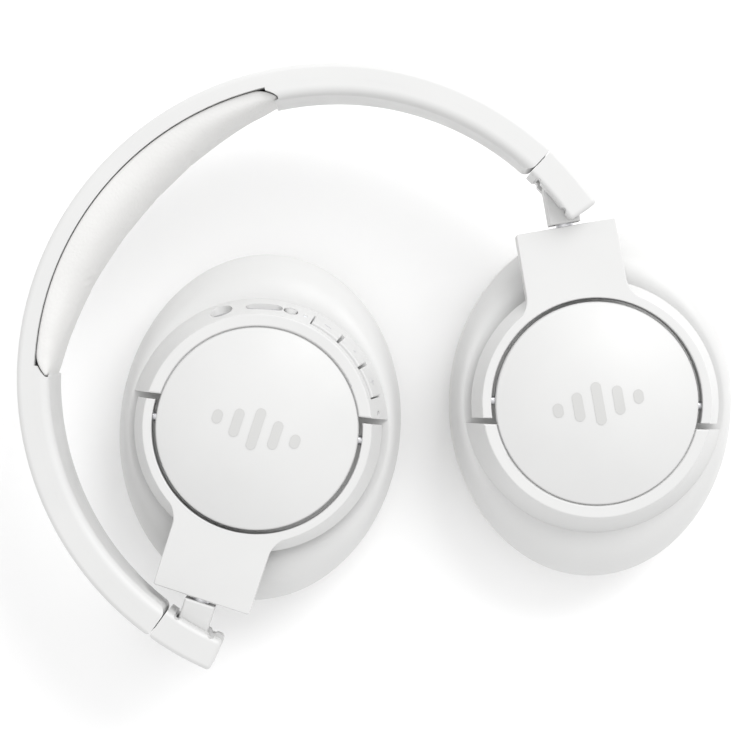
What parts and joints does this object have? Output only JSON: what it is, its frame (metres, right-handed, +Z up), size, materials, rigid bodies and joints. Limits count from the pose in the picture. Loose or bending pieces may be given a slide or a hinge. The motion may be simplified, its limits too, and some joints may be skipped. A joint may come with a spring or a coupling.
{
  "type": "over ear headphones",
  "caption": "Folding over ear headphones with oval padded cups, C shaped yokes, a padded curved headband and sliding arms.",
  "frame": {"origin": "middle of the footprint, on the surface that the cushions rest on", "axes": "+Z up, +Y towards the crown of the headband, the left cup at -X; the headband lies parallel to the surface"},
  "size_m": [0.1616, 0.1766, 0.0514],
  "materials": {
    "shell_plastic": "fine satin moulded plastic, off white",
    "pad_leatherette": "soft off white leatherette with fine grain",
    "inner_plastic": "light grey moulded plastic",
    "key_plastic": "satin off white plastic",
    "emblem_gloss": "glossy pale grey inlay",
    "spring_steel": "cold rolled spring strip",
    "slider_steel": "brushed strip",
    "hinge_metal": "off white powder coat",
    "pin_steel": "ground steel",
    "screw_steel": "plated steel",
    "speaker_cloth": "dark grey acoustic cloth",
    "diaphragm_film": "thin film",
    "magnet_metal": "coated magnet",
    "port_metal": "plated shell",
    "port_plastic": "grey moulded plastic",
    "board_green": "solder mask",
    "light_lens": "clear lens",
    "battery_wrap": "shrink wrap"
  },
  "bodies": {
    "headband": {"headband_shell": "shell_plastic", "arm_cover_left": "shell_plastic", "arm_cover_right": "shell_plastic", "spring_band": "spring_steel", "headband_pad": "pad_leatherette"},
    "left_arm": {"slider_left": "slider_steel", "arm_end_left": "shell_plastic", "fold_pin_left": "pin_steel"},
    "left_hinge": {"knuckle_left": "hinge_metal", "swivel_pin_left": "pin_steel"},
    "left_fork": {"yoke_left": "shell_plastic", "yoke_cover_left": "inner_plastic", "yoke_screws_left": "screw_steel"},
    "left_cup": {"cup_housing_left": "shell_plastic", "cup_cap_left": "shell_plastic", "emblem_left": "emblem_gloss", "tilt_pins_left": "pin_steel", "ear_cushion_left": "pad_leatherette", "cushion_frame_left": "inner_plastic", "driver_cloth_left": "speaker_cloth", "baffle_left": "inner_plastic", "baffle_screws_left": "screw_steel", "driver_basket_left": "inner_plastic", "diaphragm_left": "diaphragm_film", "magnet_left": "magnet_metal", "usb_port": "port_metal", "aux_jack": "port_plastic", "circuit_board": "board_green", "status_light": "light_lens", "microphone_mesh": "port_metal"},
    "right_arm": {"slider_right": "slider_steel", "arm_end_right": "shell_plastic", "fold_pin_right": "pin_steel"},
    "right_hinge": {"knuckle_right": "hinge_metal", "swivel_pin_right": "pin_steel"},
    "right_fork": {"yoke_right": "shell_plastic", "yoke_cover_right": "inner_plastic", "yoke_screws_right": "screw_steel"},
    "right_cup": {"cup_housing_right": "shell_plastic", "cup_cap_right": "shell_plastic", "emblem_right": "emblem_gloss", "tilt_pins_right": "pin_steel", "ear_cushion_right": "pad_leatherette", "cushion_frame_right": "inner_plastic", "driver_cloth_right": "speaker_cloth", "baffle_right": "inner_plastic", "baffle_screws_right": "screw_steel", "driver_basket_right": "inner_plastic", "diaphragm_right": "diaphragm_film", "magnet_right": "magnet_metal", "battery": "battery_wrap"},
    "volume_up_key": {"volume_up_key": "key_plastic"},
    "play_key": {"play_key": "key_plastic"},
    "volume_down_key": {"volume_down_key": "key_plastic"},
    "power_key": {"power_key": "key_plastic"}
  },
  "joints": [
    {"name": "left_extend", "type": "hinge", "parent": "headband", "child": "left_arm", "pos_m": [0, 0.0078, 0.0365], "axis": [0, 0, -1], "range_deg": [-22, 0]},
    {"name": "left_fold", "type": "hinge", "parent": "left_arm", "child": "left_hinge", "pos_m": [-0.07432, -0.0049, 0.0365], "axis": [0, 0, 1], "range_deg": [-86, 0]},
    {"name": "left_swivel", "type": "hinge", "parent": "left_hinge", "child": "left_fork", "pos_m": [-0.02241, 0.01555, 0.0365], "axis": [-0.9304, -0.3665, 0], "range_deg": [-20, 0]},
    {"name": "left_tilt", "type": "hinge", "parent": "left_fork", "child": "left_cup", "pos_m": [-0.02241, 0.01555, 0.0365], "axis": [0.5446, -0.8387, 0], "range_deg": [-4.5, 4.5]},
    {"name": "right_extend", "type": "hinge", "parent": "headband", "child": "right_arm", "pos_m": [0, 0.0078, 0.0365], "axis": [0, 0, -1], "range_deg": [0, 22]},
    {"name": "right_fold", "type": "hinge", "parent": "right_arm", "child": "right_hinge", "pos_m": [0.07432, -0.0049, 0.0365], "axis": [0, 0, 1], "range_deg": [0, 45]},
    {"name": "right_swivel", "type": "hinge", "parent": "right_hinge", "child": "right_fork", "pos_m": [0.03823, -0.04746, 0.0365], "axis": [-0.6468, -0.7627, 0], "range_deg": [-90, 0]},
    {"name": "right_tilt", "type": "hinge", "parent": "right_fork", "child": "right_cup", "pos_m": [0.03823, -0.04746, 0.0365], "axis": [0.6184, -0.7859, 0], "range_deg": [-4.5, 4.5]},
    {"name": "volume_up_press", "type": "slide", "parent": "left_cup", "child": "volume_up_key", "axis": [-0.8846, 0.4664, 0], "range_m": [0, 0.0005], "stiffness_N_per_m": 700},
    {"name": "play_press", "type": "slide", "parent": "left_cup", "child": "play_key", "axis": [-0.9799, 0.1994, 0], "range_m": [0, 0.0005], "stiffness_N_per_m": 700},
    {"name": "volume_down_press", "type": "slide", "parent": "left_cup", "child": "volume_down_key", "axis": [-0.9965, -0.0837, 0], "range_m": [0, 0.0005], "stiffness_N_per_m": 700},
    {"name": "power_press", "type": "slide", "parent": "left_cup", "child": "power_key", "axis": [-0.915, -0.4035, 0], "range_m": [0, 0.0005], "stiffness_N_per_m": 700}
  ],
  "couplings": [
    {"joint": "right_fold", "follows": "left_fold", "ratio": -0.52}
  ]
}
